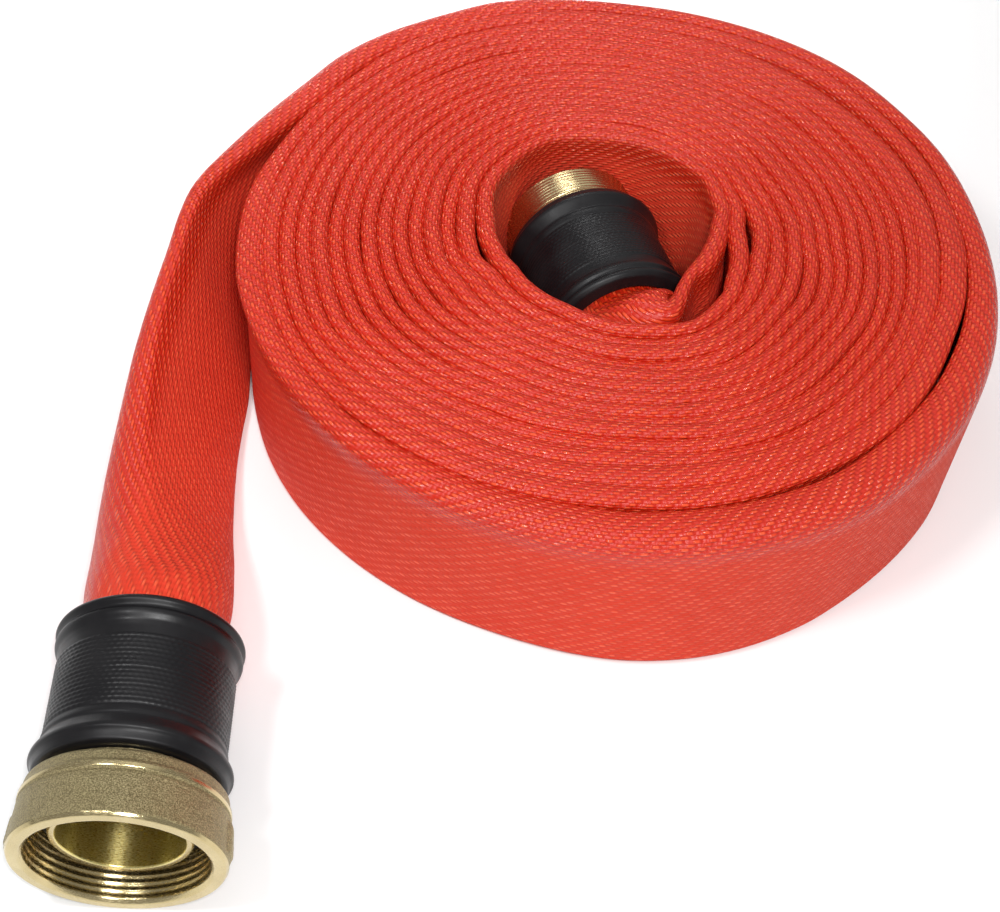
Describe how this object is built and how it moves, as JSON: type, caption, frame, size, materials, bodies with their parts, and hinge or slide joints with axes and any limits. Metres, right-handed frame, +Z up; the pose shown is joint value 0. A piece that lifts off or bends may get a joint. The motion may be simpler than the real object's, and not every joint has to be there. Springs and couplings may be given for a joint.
{
  "type": "rolled fire hose",
  "caption": "Lay-flat fire hose wound into a flat roll, with a male screw coupling in the middle and a female swivel coupling on the free outer end.",
  "frame": {"origin": "middle of the whole object's base, on the surface the roll lies on", "axes": "+Z up, the roll's axis; the female coupling's mouth faces -Y"},
  "size_m": [0.3484, 0.402, 0.0735],
  "materials": {
    "woven_jacket": "tight circular weave of polyester yarn, coated, semi-gloss red",
    "lining": "smooth black extruded lining",
    "brass": "cast outside, machined faces, bright bore",
    "steel_wire": "drawn wire",
    "gasket": "soft black seal",
    "cover_rubber": "satin black moulded rubber with fine ribs"
  },
  "bodies": {
    "hose": {"hose_roll": "woven_jacket", "hose_tail": "woven_jacket", "hose_lead": "woven_jacket", "female_tailpiece": "brass", "female_gasket": "gasket", "female_hose_end_jacket": "woven_jacket", "female_hose_end_lining": "lining", "female_binding_front": "steel_wire", "female_binding_rear": "steel_wire", "female_binding_cover": "cover_rubber", "male_tailpiece": "brass", "male_hose_end_jacket": "woven_jacket", "male_hose_end_lining": "lining", "male_binding_front": "steel_wire", "male_binding_rear": "steel_wire", "male_binding_cover": "cover_rubber"},
    "swivel_nut": {"female_swivel_nut": "brass", "female_retaining_wire": "steel_wire"}
  },
  "joints": [
    {"name": "swivel_nut_spin", "type": "hinge", "parent": "hose", "child": "swivel_nut", "pos_m": [-0.1392, -0.18905, 0.035], "axis": [0, 1, 0], "continuous": true}
  ]
}
